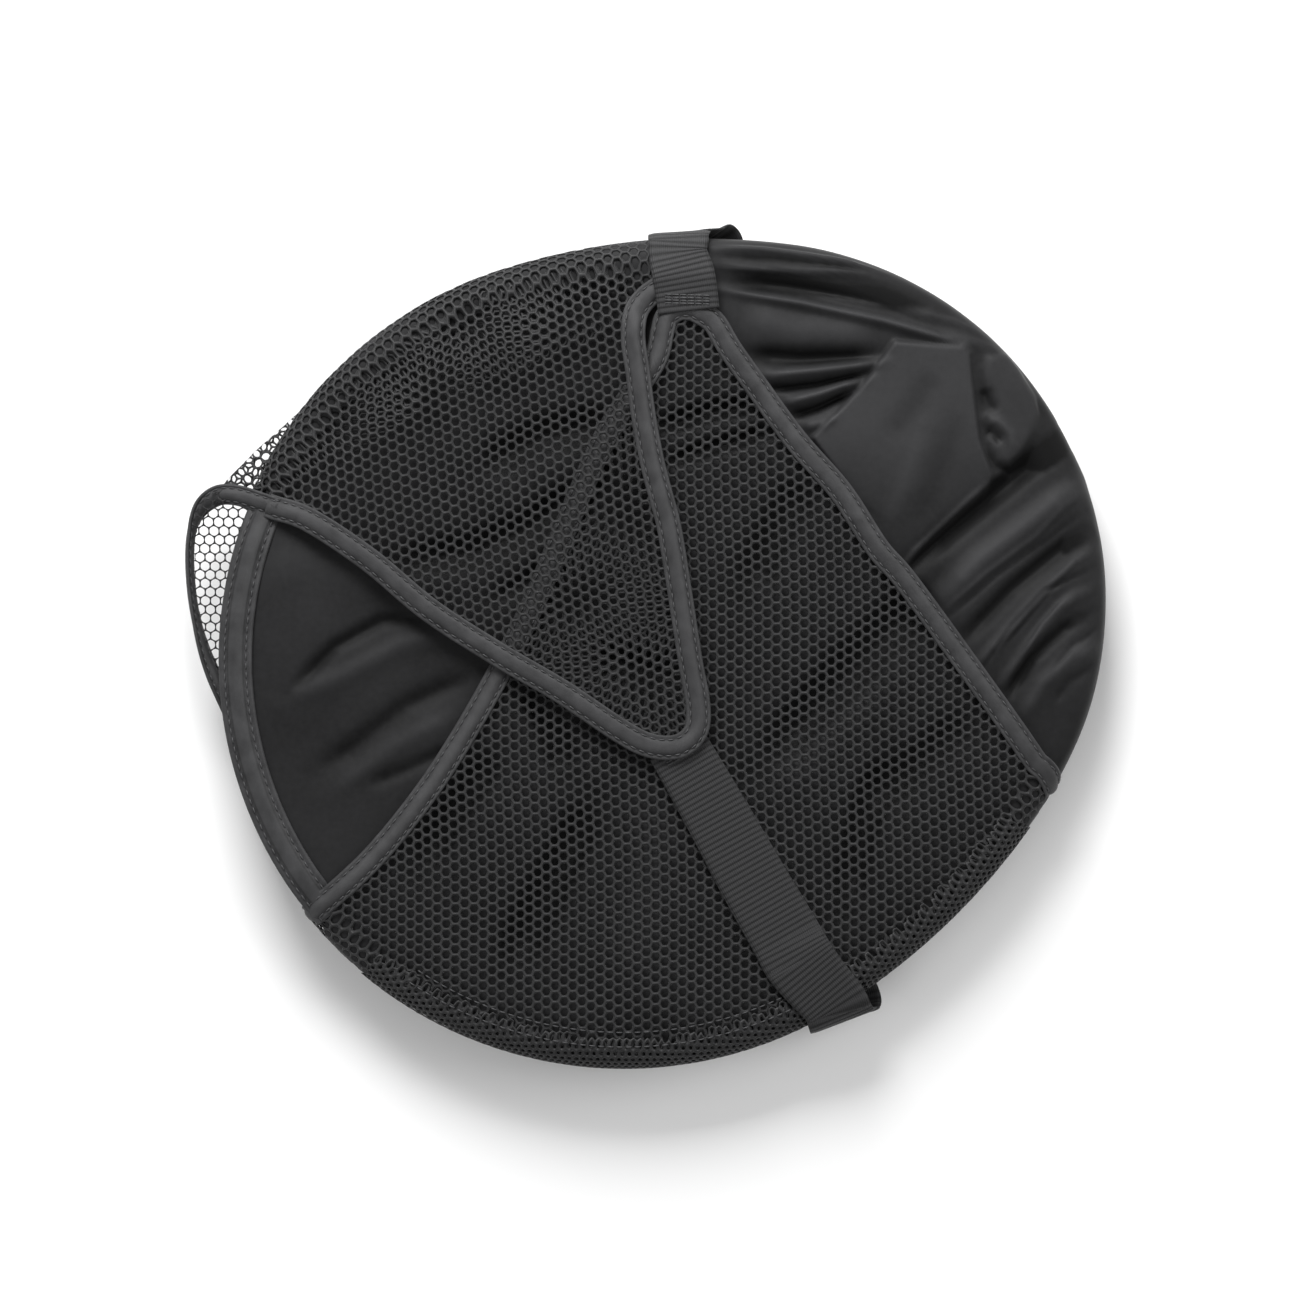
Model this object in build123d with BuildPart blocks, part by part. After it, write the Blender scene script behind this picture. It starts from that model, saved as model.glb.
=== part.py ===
"""Folding mesh trap, twisted flat and strapped: sprung hoops, bound nets, cloth and an elastic strap.

The pack lies flat with its front up (+Z) and its strap running top to bottom (roughly along Y).
The origin is under the middle of the whole pack, side loop included, level with the underside of
the strap, which the pack rests on.
"""
from build123d import *
from math import atan2, cos, degrees, radians, sin, sqrt
import os

os.makedirs("parts", exist_ok=True)

# ---- driving dimensions, millimetres ---------------------------------------------------------
rim_length = 345.0        # the oval pack, end to end along its long axis
rim_tilt = 25.4           # turn of that long axis from +X, degrees
rim_centre = (7.0, 2.8)   # the side loop sticks out to the left, so the oval is not central
nose_radius = 137.6       # round end at the upper right
tail_radius = 155.8       # rounder end at the lower left
side_radius = 256.6       # the two flatter sides between them

strap_width = 25.0
strap_thick = 1.2
layer_gap = 0.1           # air between soft layers that lie on each other
cloth_thick = 2.0         # one layer of puckered cloth
cloth_inset = 4.0         # the cloth's flat part ends this far inside the rim
net_thick = 0.8

tape_width = 9.2          # folded binding tape, edge to edge
tape_height = 3.6         # the tape over its wire
wire_radius = 1.0         # spring steel hoop
channel_radius = 1.5      # room that the wire has inside the tape
wire_to_edge = 4.2        # from the wire to the outer edge of the tape
net_to_wire = 2.4         # a net stops this far short of the wire, inside the tape
slot_height = net_thick + layer_gap
lap_height = 5.0          # one lap of bound hoop in the coiled rim
lap_count = 4
hem_width = 8.6
hem_thick = 2.0
hem_inset = 1.5

flap_left = (-146.5, 55.0)      # the front flap's fold line: left end
flap_top = (-4.5, 124.5)        # and top end
flap_point = (25.5, -54.0)      # where the flap's two straight edges would cross
flap_corner_radius = 13.0
fold_gap = 1.5                  # free cloth each side of the fold line

fan_right = (163.0, -63.0)      # the fan's edges: right end, peak and left end
fan_peak = (15.5, 137.5)
fan_left = (-141.0, -114.0)
fan_left_bow = (-51.0, 1.0)     # a point that the left edge bows through
fan_foot = (0.0, -260.0)        # below the rim, so that the fan covers the whole lower pack
fan_peak_radius = 9.7

strap_top_angle = 92.4          # where the strap goes over the rim, as the rim's outward direction
strap_bottom_angle = -58.0
strap_rim_gap = 0.4
strap_end_length = 24.0         # the sewn top end, from the rim towards the peak of the fan
strap_front_end = (18.0, -38.0) # the other end, under the flap's corner
tack_length = 18.0
tack_width = 2.4
tack_height = 0.5

loop_start = (-139.0, 53.0)     # the side loop leaves the rim here, at the flap's left end
loop_shoulder = (-166.0, 61.0)
loop_outside = (-174.0, 30.0)
loop_end = (-156.0, -39.0)
loop_shoulder_radius = 9.0
loop_outside_radius = 40.0
loop_web_top = (-77.0, 134.0)   # the folded net runs straight from here to the loop's shoulder
loop_level = 18.0
loop_gap = 2.5                  # from the rim to the side loop
ferrule_length = 12.0

# ---- the levels of the stack, from the floor up ----------------------------------------------
back_level = strap_thick + layer_gap
back_cloth_level = back_level + tape_height + layer_gap
lap_level = back_cloth_level + cloth_thick + layer_gap
front_cloth_level = lap_level + lap_count * lap_height + layer_gap
fan_level = front_cloth_level + cloth_thick + layer_gap
strap_front_level = fan_level + (tape_height + net_thick) / 2 + layer_gap
flap_level = fan_level + tape_height + layer_gap
flap_middle = flap_level + tape_height / 2
fan_inset = hem_inset + hem_width + layer_gap
core_inset = tape_width + layer_gap

# ---- the oval: four arcs, each tangent to the next -------------------------------------------
nose_x = rim_length / 2 - nose_radius
tail_x = tail_radius - rim_length / 2
nose_rise = side_radius - nose_radius
tail_rise = side_radius - tail_radius
spread = nose_x - tail_x
side_x = tail_x + (tail_rise**2 - nose_rise**2 + spread**2) / (2 * spread)
side_y = sqrt(tail_rise**2 - (side_x - tail_x) ** 2)
nose_turn = degrees(atan2(side_y, nose_x - side_x))
tail_turn = degrees(atan2(side_y, tail_x - side_x))


def tilted(level):
    """The pack's own plane at a height, with X along the oval's long axis."""
    along = (cos(radians(rim_tilt)), sin(radians(rim_tilt)), 0)
    return Plane(origin=(*rim_centre, level), x_dir=along, z_dir=(0, 0, 1))


def draw_oval(inset):
    """Four tangent arcs, moved inwards together, so that every oval runs parallel to the rim."""
    CenterArc((nose_x, 0), nose_radius - inset, -nose_turn, 2 * nose_turn)
    CenterArc((side_x, -side_y), side_radius - inset, nose_turn, tail_turn - nose_turn)
    CenterArc((tail_x, 0), tail_radius - inset, tail_turn, 360 - 2 * tail_turn)
    CenterArc((side_x, side_y), side_radius - inset, -tail_turn, tail_turn - nose_turn)


def rim_point(outward, inset=0.0):
    """The point of the oval whose outward direction is this angle from +X."""
    turn = (outward - rim_tilt + 180) % 360 - 180
    if abs(turn) <= nose_turn:
        centre, radius = Vector(nose_x, 0), nose_radius
    elif abs(turn) >= tail_turn:
        centre, radius = Vector(tail_x, 0), tail_radius
    else:
        centre, radius = Vector(side_x, -side_y if turn > 0 else side_y), side_radius
    reach = radius - inset
    local = centre + Vector(reach * cos(radians(turn)), reach * sin(radians(turn)))
    return local.rotate(Axis.Z, rim_tilt) + Vector(rim_centre)


def oval_plate(level, thick, inset):
    """A flat oval sheet whose lower face is at the level."""
    with BuildPart() as plate:
        with BuildSketch(tilted(level)):
            with BuildLine():
                draw_oval(inset)
            make_face()
        extrude(amount=thick)
    return plate.part


def draw_tape_section(height):
    """Binding tape folded round a wire: X runs inwards over the net, the wire is at the origin."""
    with Locations((tape_width / 2 - wire_to_edge, 0)):
        tape = Rectangle(tape_width, height)
    fillet(tape.vertices().group_by(Axis.X)[0], height / 2 - layer_gap)
    Circle(channel_radius, mode=Mode.SUBTRACT)
    with Locations((tape_width / 2, 0)):
        Rectangle(tape_width, slot_height, mode=Mode.SUBTRACT)


def section_plane(path, net_on_left=True):
    """The plane across the start of a flat path, with X pointing to the side where the net is."""
    along = path % 0
    inwards = Vector(-along.Y, along.X, 0) * (1 if net_on_left else -1)
    return Plane(origin=path @ 0, x_dir=inwards, z_dir=along)


def bound_edge(path, net_on_left=True, height=tape_height):
    """Binding tape along the line of its wire, with the folded edge away from the net."""
    with BuildPart() as tape:
        with BuildSketch(section_plane(path, net_on_left)):
            draw_tape_section(height)
        sweep(path=path)
    return tape.part


def wire_along(path, radius=wire_radius, bore=0.0):
    """Round wire along a path, or a sleeve where it has a bore."""
    with BuildPart() as rod:
        with BuildSketch(section_plane(path)):
            Circle(radius)
            if bore:
                Circle(bore, mode=Mode.SUBTRACT)
        sweep(path=path)
    return rod.part


def flat_band(start, end, level, width=strap_width, thick=strap_thick):
    """A straight flat band from one point to another, its lower face at the level."""
    first, last = Vector(start), Vector(end)
    along = Vector(last.X - first.X, last.Y - first.Y)
    with BuildPart() as band:
        with BuildSketch(Plane(origin=(first.X, first.Y, level), x_dir=along, z_dir=(0, 0, 1))):
            Rectangle(along.length, width, align=(Align.MIN, Align.CENTER))
        extrude(amount=thick)
    return band.part


def save(name, shape):
    """Label a finished piece and write it as its own STEP file."""
    shape.label = name
    export_step(shape, f"parts/{name}.step")
    print(f"{name:22s} {shape.volume / 1000:9.2f} cm3")


# ---- the coiled rim: four laps of bound hoop, one on another ---------------------------------
for lap_number in range(lap_count):
    lap_middle = lap_level + (lap_number + 0.5) * lap_height
    with BuildLine(tilted(lap_middle)) as lap:
        draw_oval(wire_to_edge)
    with BuildPart() as rim_binding:
        add(bound_edge(lap.wire(), height=lap_height - layer_gap))
    save(f"rim_binding_{lap_number + 1}", rim_binding.part)
    with BuildPart() as rim_wire:
        add(wire_along(lap.wire()))
    save(f"rim_wire_{lap_number + 1}", rim_wire.part)

# the crimped sleeves that close the hoops, spread round the tail end from lap to lap
ferrule_turn = degrees(ferrule_length / tail_radius)
ferrule_spacing = 50
with BuildPart() as hoop_ferrules:
    for lap_number in range(lap_count):
        lap_middle = lap_level + (lap_number + 0.5) * lap_height
        first_turn = tail_turn + 20 + ferrule_spacing * lap_number
        with BuildLine(tilted(lap_middle)) as crimp:
            CenterArc((tail_x, 0), tail_radius - wire_to_edge, first_turn, ferrule_turn)
        add(wire_along(crimp.wire(), channel_radius - layer_gap, wire_radius + 0.02))
save("hoop_ferrules", hoop_ferrules.part)

# ---- the folded walls inside the rim, and the cloth over both faces ---------------------------
with BuildPart() as folded_walls:
    add(oval_plate(lap_level, lap_count * lap_height, core_inset))
save("folded_walls", folded_walls.part)

with BuildPart() as front_cloth:
    add(oval_plate(front_cloth_level, cloth_thick, cloth_inset))
save("front_cloth", front_cloth.part)

with BuildPart() as back_cloth:
    add(oval_plate(back_cloth_level, cloth_thick, cloth_inset))
save("back_cloth", back_cloth.part)


# ---- the fans: a net with two bound edges that meet in a round peak ---------------------------
def draw_fan_edges(side):
    """Up the right edge, over the peak and down the bowed left edge; side -1 mirrors it."""
    right, peak, bow, left = [(side * x, y) for x, y in (fan_right, fan_peak, fan_left_bow, fan_left)]
    Line(right, peak)
    ThreePointArc(peak, bow, left)


def fan_edges(level, side):
    """The line of a fan's wire."""
    with BuildLine(Plane.XY.offset(level)) as edges:
        draw_fan_edges(side)
        fillet(edges.vertices().sort_by(Axis.Y)[-1], fan_peak_radius)
    return edges.wire()


def fan_area(level, thick, shrink, side):
    """A solid over the fan's area, its edges moved inwards."""
    with BuildPart() as area:
        with BuildSketch(Plane.XY.offset(level)) as outline:
            with BuildLine():
                draw_fan_edges(side)
                Polyline((side * fan_left[0], fan_left[1]), fan_foot, (side * fan_right[0], fan_right[1]))
            make_face()
            fillet(outline.vertices().sort_by(Axis.Y)[-1], fan_peak_radius)
            offset(amount=-shrink, kind=Kind.INTERSECTION)
        extrude(amount=thick)
    return area.part


for face, level, side in (("front", fan_level, 1), ("back", back_level, -1)):
    fan_middle = level + tape_height / 2
    net_level = fan_middle - net_thick / 2
    fan_bounds = oval_plate(level, tape_height, fan_inset)
    with BuildPart() as fan_net:
        add(fan_area(net_level, net_thick, net_to_wire, side))
        add(fan_bounds, mode=Mode.INTERSECT)
    save(f"{face}_net", fan_net.part)
    with BuildPart() as fan_binding:
        add(bound_edge(fan_edges(fan_middle, side), net_on_left=side > 0))
        add(fan_bounds, mode=Mode.INTERSECT)
    save(f"{face}_binding", fan_binding.part)
    with BuildPart() as fan_wire:
        add(wire_along(fan_edges(fan_middle, side)))
        add(fan_bounds, mode=Mode.INTERSECT)
    save(f"{face}_wire", fan_wire.part)
    # the net's doubled hem, which runs round the rim between the fan's two edges
    with BuildPart() as fan_hem:
        add(oval_plate(level, hem_thick, hem_inset))
        add(oval_plate(level, hem_thick, hem_inset + hem_width), mode=Mode.SUBTRACT)
        add(fan_area(level, hem_thick, 0, side), mode=Mode.INTERSECT)
    save(f"{face}_hem", fan_hem.part)

# ---- the front flap, which folds up along a line across the pack ------------------------------
fold_along = Vector(flap_top[0] - flap_left[0], flap_top[1] - flap_left[1]).normalized()
fold_across = Vector(fold_along.Y, -fold_along.X)     # flat, from the fold line to the flap's corner
fold_point = Vector(flap_left[0], flap_left[1], flap_middle)
flap_side = Plane(origin=fold_point + fold_across * fold_gap, z_dir=fold_across)
root_side = Plane(origin=fold_point - fold_across * fold_gap, z_dir=fold_across)
flap_net_level = flap_middle - net_thick / 2
root_reach = 9.0                                      # how far the binding runs on past the fold line

root_lead = (Vector(flap_top) - Vector(flap_point)).normalized() * root_reach
above_fold = (flap_top[0] + root_lead.X, flap_top[1] + root_lead.Y)

with BuildLine(Plane.XY.offset(flap_middle)) as flap_edges:
    FilletPolyline(above_fold, flap_point, flap_left, radius=flap_corner_radius)
flap_edge = flap_edges.wire()

with BuildPart() as flap_binding:
    add(bound_edge(flap_edge, net_on_left=False))
    split(bisect_by=flap_side, keep=Keep.TOP)
save("flap_binding", flap_binding.part)

with BuildPart() as flap_wire:
    add(wire_along(flap_edge))
    split(bisect_by=flap_side, keep=Keep.TOP)
save("flap_wire", flap_wire.part)

with BuildPart() as flap_root_binding:
    add(bound_edge(flap_edge, net_on_left=False))
    split(bisect_by=root_side, keep=Keep.BOTTOM)
save("flap_root_binding", flap_root_binding.part.solids().sort_by(Axis.X)[-1])

with BuildPart() as flap_root_wire:
    add(wire_along(flap_edge))
    split(bisect_by=root_side, keep=Keep.BOTTOM)
save("flap_root_wire", flap_root_wire.part.solids().sort_by(Axis.X)[-1])

with BuildPart() as flap_net:
    with BuildSketch(Plane.XY.offset(flap_net_level)):
        with BuildLine():
            FilletPolyline(above_fold, flap_point, flap_left, radius=flap_corner_radius)
            Line(flap_left, above_fold)
        make_face()
        offset(amount=-net_to_wire, kind=Kind.INTERSECTION)
    extrude(amount=net_thick)
    split(bisect_by=flap_side, keep=Keep.TOP)
save("flap_net", flap_net.part)

# the same net, from the fold line to the rim, where it stays with the pack
root_net_right = flap_top[0] - wire_to_edge - net_to_wire
with BuildPart() as flap_root_net:
    add(oval_plate(flap_net_level, net_thick, hem_inset))
    split(bisect_by=root_side, keep=Keep.BOTTOM)
    split(bisect_by=Plane(origin=(root_net_right, 0, 0), z_dir=(1, 0, 0)), keep=Keep.BOTTOM)
save("flap_root_net", flap_root_net.part)

with BuildPart() as flap_corner_tack:
    with BuildSketch(Plane(origin=(*strap_front_end, flap_level + tape_height),
                           x_dir=fold_along, z_dir=(0, 0, 1))):
        with Locations((0, 5.5)):
            SlotOverall(tack_length, tack_width)
    extrude(amount=tack_height)
save("flap_corner_tack", flap_corner_tack.part)


# ---- the elastic strap: sewn at the fan's peak, over the top rim, behind the pack, round the ---
# ---- bottom rim and up over the fan to the flap's corner --------------------------------------
def rim_band(outward, top_level):
    """The strap's upright stretch where it goes round the rim."""
    foot = rim_point(outward, inset=-strap_rim_gap)
    away = Vector(cos(radians(outward)), sin(radians(outward)), 0)
    with BuildPart() as band:
        with BuildSketch(Plane(origin=foot, x_dir=away.rotate(Axis.Z, 90), z_dir=away)):
            Rectangle(strap_width, top_level, align=(Align.CENTER, Align.MIN))
        extrude(amount=strap_thick)
    return band.part


strap_outside = -(strap_rim_gap + strap_thick)
strap_top = rim_point(strap_top_angle, strap_outside)
strap_bottom = rim_point(strap_bottom_angle, strap_outside)
strap_top_level = front_cloth_level + cloth_thick + layer_gap
strap_top_end = rim_point(strap_top_angle, strap_end_length)
with BuildPart() as elastic_strap:
    add(flat_band(strap_top, strap_bottom, 0))
    add(rim_band(strap_top_angle, strap_top_level + strap_thick))
    add(rim_band(strap_bottom_angle, strap_front_level + strap_thick))
    add(flat_band(strap_top, strap_top_end, strap_top_level))
save("elastic_strap", elastic_strap.part)

strap_front_start = rim_point(strap_bottom_angle, inset=strap_rim_gap)
with BuildPart() as strap_front_run:
    add(flat_band(strap_front_start, strap_front_end, strap_front_level))
save("strap_front_run", strap_front_run.part)

with BuildPart() as strap_end_tack:
    with BuildSketch(Plane(origin=(strap_top_end.X, strap_top_end.Y, strap_top_level + strap_thick),
                           x_dir=(1, 0, 0), z_dir=(0, 0, 1))):
        with Locations((0, tack_width + 1), (0, 2 * tack_width + 4)):
            SlotOverall(tack_length, tack_width)
    extrude(amount=tack_height)
save("strap_end_tack", strap_end_tack.part)


# ---- the side loop: the flap's hoop runs on past the rim and round the left side --------------
def draw_loop():
    """The line of the loop's wire: out from the rim, over the shoulder and back behind the rim."""
    corner = FilletPolyline(loop_start, loop_shoulder, loop_outside, radius=loop_shoulder_radius)
    Line(corner @ 1, loop_end)


loop_middle = loop_level + tape_height / 2
loop_net_level = loop_middle - net_thick / 2
rim_clearance = oval_plate(0, flap_level, -loop_gap)
with BuildLine(Plane.XY.offset(loop_middle)) as loop_line:
    draw_loop()
    fillet(loop_line.vertices().sort_by(Axis.X)[0], loop_outside_radius)
loop_edge = loop_line.wire()

with BuildPart() as side_loop_binding:
    add(bound_edge(loop_edge))
    add(rim_clearance, mode=Mode.SUBTRACT)
save("side_loop_binding", side_loop_binding.part)

with BuildPart() as side_loop_wire:
    add(wire_along(loop_edge))
    add(rim_clearance, mode=Mode.SUBTRACT)
save("side_loop_wire", side_loop_wire.part)

with BuildPart() as side_loop_net:
    with BuildSketch(Plane.XY.offset(loop_net_level)):
        with BuildLine() as net_line:
            draw_loop()
            fillet(net_line.vertices().sort_by(Axis.X)[0], loop_outside_radius)
            Polyline(loop_end, (0, 0), loop_start)
        make_face()
        offset(amount=-net_to_wire, kind=Kind.INTERSECTION)
    extrude(amount=net_thick)
    add(rim_clearance, mode=Mode.SUBTRACT)
save("side_loop_net", side_loop_net.part)

# the folded net between the loop's shoulder and the rim, above the loop's binding
web_gap = 2 * wire_to_edge
with BuildPart() as side_web_net:
    with BuildSketch(Plane.XY.offset(loop_net_level)):
        with BuildLine():
            Polyline(loop_web_top, (loop_shoulder[0], loop_shoulder[1] + web_gap),
                     (loop_start[0], loop_start[1] + web_gap), loop_web_top)
        make_face()
    extrude(amount=net_thick)
    add(rim_clearance, mode=Mode.SUBTRACT)
save("side_web_net", side_web_net.part)

loop_fold_low, loop_fold_high = rim_point(190, inset=-1), rim_point(158, inset=-1)
print("flap's fold line at", fold_point, "along", fold_along)
print("loop's fold line from", loop_fold_low, "to", loop_fold_high, "at height", loop_middle)
print("strap's middle", (strap_top + strap_bottom) * 0.5)
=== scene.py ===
# %% [markdown]
# A mesh trap on spring-steel hoops, twisted flat into an oval pack and held by an elastic strap.
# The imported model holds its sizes, bodies and joints. This script lays cloth, net, tape and elastic
# over that frame, so every piece starts from a place that the frame gives.

# %% Load the frame
import bpy
import numpy as np
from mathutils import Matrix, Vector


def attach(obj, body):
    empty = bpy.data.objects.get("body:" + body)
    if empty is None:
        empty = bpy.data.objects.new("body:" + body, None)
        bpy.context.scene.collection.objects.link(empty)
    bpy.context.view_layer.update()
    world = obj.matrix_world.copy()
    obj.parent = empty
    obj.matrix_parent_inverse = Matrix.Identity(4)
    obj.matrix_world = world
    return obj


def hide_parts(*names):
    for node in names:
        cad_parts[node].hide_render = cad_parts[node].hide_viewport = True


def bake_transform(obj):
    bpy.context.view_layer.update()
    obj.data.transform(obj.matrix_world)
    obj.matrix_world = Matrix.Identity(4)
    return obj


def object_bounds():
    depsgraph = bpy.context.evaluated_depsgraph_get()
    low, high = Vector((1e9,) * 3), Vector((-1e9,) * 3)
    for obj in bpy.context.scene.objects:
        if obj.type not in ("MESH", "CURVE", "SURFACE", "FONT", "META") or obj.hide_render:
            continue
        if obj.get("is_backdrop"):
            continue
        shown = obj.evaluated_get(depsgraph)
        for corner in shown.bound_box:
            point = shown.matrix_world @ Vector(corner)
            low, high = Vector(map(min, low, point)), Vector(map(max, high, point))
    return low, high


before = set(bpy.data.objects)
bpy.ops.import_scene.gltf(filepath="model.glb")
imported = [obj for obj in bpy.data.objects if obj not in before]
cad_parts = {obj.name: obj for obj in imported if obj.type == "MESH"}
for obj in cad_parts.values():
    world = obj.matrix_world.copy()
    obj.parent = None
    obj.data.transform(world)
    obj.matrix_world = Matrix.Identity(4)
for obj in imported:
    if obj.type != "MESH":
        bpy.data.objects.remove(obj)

MM = 0.001
cad_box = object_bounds()

# %% [markdown]
# The camera comes first. It looks straight down on the pack from far enough away that the rim
# doesn't hide behind the flap. A plain white floor and big soft lamps leave the black cloth as the
# only subject: its folds show only by their gloss, so the lamps are wide and one side is stronger.

# %% Camera, floor and lamps
view_width = 498 * MM
camera_height = 1.9
look_at = (2.0 * MM, -1.0 * MM)
scene = bpy.context.scene
scene.view_settings.view_transform = "Standard"
camera = bpy.data.objects.new("camera", bpy.data.cameras.new("camera"))
camera.location = (*look_at, camera_height)
camera.data.sensor_width = 36
camera.data.lens = 36 * (camera_height - 30 * MM) / view_width
scene.collection.objects.link(camera)
scene.camera = camera


def lamp(name, place, size, watts):
    """A square soft lamp aimed at the pack."""
    data = bpy.data.lights.new(name, "AREA")
    data.size = size
    data.energy = watts
    body = bpy.data.objects.new(name, data)
    body.location = place
    aim = -body.location
    body.rotation_euler = aim.to_track_quat("-Z", "Y").to_euler()
    scene.collection.objects.link(body)


lamp("top_lamp", (-0.25, 1.15, 0.8), 0.7, 32)
lamp("side_lamp", (1.0, 0.2, 0.75), 0.7, 5)
lamp("fill_lamp", (-0.9, -0.7, 1.1), 1.2, 6)
world = bpy.data.worlds.new("studio")
world.use_nodes = True
world.node_tree.nodes["Background"].inputs["Color"].default_value = (1, 1, 1, 1)
world.node_tree.nodes["Background"].inputs["Strength"].default_value = 0.38
scene.world = world

# %% [markdown]
# Finishes. A shader is easier to read as arithmetic than as a list of nodes, so a small class wraps
# a socket: adding, multiplying or taking powers of two fields adds the Math nodes. One method makes
# every other node from its type, its settings and its inputs.

# %% A field class for shader arithmetic
class Field:
    """A number that varies over a surface; arithmetic on it adds Math nodes."""

    def __init__(self, finish, socket):
        self.finish = finish
        self.socket = socket

    def math(self, operation, first, second=None):
        values = [first] if second is None else [first, second]
        return self.finish.node("ShaderNodeMath", {"operation": operation}, values)

    def __add__(self, other):
        return self.math("ADD", self, other)

    def __radd__(self, other):
        return self.math("ADD", other, self)

    def __sub__(self, other):
        return self.math("SUBTRACT", self, other)

    def __rsub__(self, other):
        return self.math("SUBTRACT", other, self)

    def __mul__(self, other):
        return self.math("MULTIPLY", self, other)

    def __rmul__(self, other):
        return self.math("MULTIPLY", other, self)

    def __pow__(self, other):
        return self.math("POWER", self, other)

    def sine(self):
        return self.math("SINE", self)

    def size(self):
        return self.math("ABSOLUTE", self)

    def cosine(self):
        return self.math("COSINE", self)

    def clamp(self):
        return self.finish.node("ShaderNodeClamp", {}, [self])


class Finish:
    """A material on the standard shader, with helpers that return fields."""

    def __init__(self, name, roughness, sheen=0.0, specular=0.5, metallic=0.0):
        self.material = bpy.data.materials.new(name)
        self.material.use_nodes = True
        self.tree = self.material.node_tree
        self.shader = self.tree.nodes["Principled BSDF"]
        self.shader.inputs["Roughness"].default_value = roughness
        self.shader.inputs["Sheen Weight"].default_value = sheen
        self.shader.inputs["Sheen Roughness"].default_value = 0.4
        self.shader.inputs["Specular IOR Level"].default_value = specular
        self.shader.inputs["Metallic"].default_value = metallic

    def node(self, kind, settings, inputs, output=0):
        """Any node: its type, its settings, then the values or fields of its sockets."""
        made = self.tree.nodes.new(kind)
        for key, value in settings.items():
            setattr(made, key, value)
        pairs = inputs.items() if isinstance(inputs, dict) else enumerate(inputs)
        for key, value in pairs:
            if isinstance(value, Field):
                self.tree.links.new(value.socket, made.inputs[key])
            else:
                made.inputs[key].default_value = value
        return Field(self, made.outputs[output])

    def place(self):
        return self.node("ShaderNodeTexCoord", {}, {}, "Object")

    def lie(self):
        """Millimetres across and along a tape or strap, from its UV map; on the cloth its first number is the
        fold height, used for painted shade.
        """
        return self.node("ShaderNodeTexCoord", {}, {}, "UV")

    def axis(self, vector, letter):
        return self.node("ShaderNodeSeparateXYZ", {}, [vector], letter)

    def noise(self, vector, scale, detail=3.0):
        return self.node("ShaderNodeTexNoise", {}, {"Vector": vector, "Scale": scale, "Detail": detail})

    def colour(self, share, dark, light):
        """A colour between two, by a field."""
        return self.node("ShaderNodeMix", {"data_type": "RGBA"},
                         {0: share, 6: (*dark, 1), 7: (*light, 1)}, 2)

    def bump(self, height, distance, strength=1.0):
        return self.node("ShaderNodeBump", {},
                         {"Height": height, "Distance": distance, "Strength": strength}, "Normal")

    def feed(self, **fields):
        """Link fields to the shader's own sockets."""
        for name, field in fields.items():
            self.tree.links.new(field.socket, self.shader.inputs[name.replace("_", " ")])
        return self.material


# %% [markdown]
# The cloth is a thin closely woven polyester. At arm's length its weave is only a slight break-up of
# the gloss, so two crossed sine waves a third of a millimetre apart feed a faint bump, and slow
# noise shifts the black a little, as handling does. The cloth's map carries how high its folds
# stand, and the colour is painted darker in the deep folds and lighter on the ridges: painted shade,
# since little light gets into a deep fold of black cloth.

# %% Cloth
def woven(finish, pitch):
    """Height of a plain weave: two crossed waves."""
    place = finish.place()
    turn = 2 * np.pi / (pitch * MM)
    over = (finish.axis(place, "X") * turn).sine()
    under = (finish.axis(place, "Y") * turn).sine()
    return over * under


def cloth_finish():
    finish = Finish("wall_cloth", roughness=0.55, sheen=0.08, specular=0.12)
    patch = finish.noise(finish.place(), 38)
    rub = finish.noise(finish.place(), 420, 2)
    # Fold height from the map: painted shade, a darker colour in the fold valleys and a lighter one on the
    # ridges.
    depth = finish.axis(finish.lie(), "X")
    shade = (patch * 0.25 + rub * 0.2 + depth * 0.17 + 0.08).clamp()
    return finish.feed(Base_Color=finish.colour(shade, (0.002, 0.002, 0.0021), (0.034, 0.034, 0.0355)),
                       Roughness=0.46 + patch * 0.16,
                       Normal=finish.bump(woven(finish, 0.45), 0.03 * MM, 0.6))


# %% [markdown]
# The net is knitted from several fine filaments, so each thread is a little lighter on its crown and
# catches the light in streaks. A fine noise stretched along neither axis lightens the colour in
# streaks, a painted highlight, and feeds a faint bump; that is enough at this size.

# %% Net
def net_finish():
    finish = Finish("net", roughness=0.5, sheen=0.05, specular=0.2)
    # Painted highlight: this fine noise lightens the threads' colour in streaks, and it also feeds their
    # bump.
    fibre = finish.noise(finish.place(), 2600, 2)
    patch = finish.noise(finish.place(), 60)
    shade = (fibre * 0.5 + patch * 0.5).clamp()
    return finish.feed(Base_Color=finish.colour(shade, (0.012, 0.012, 0.0124), (0.032, 0.032, 0.033)),
                       Normal=finish.bump(fibre, 0.08 * MM, 0.7))


# %% [markdown]
# Binding tape and elastic are woven narrow goods. Their threads run along and across the tape and
# not along the room's axes, so these finishes read the UV map that each piece carries: millimetres
# across and along. The elastic's ribs themselves are geometry, and its colour adds painted light on
# their crests and painted shade between them. The tape's colour has painted shade along its grooves.

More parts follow.
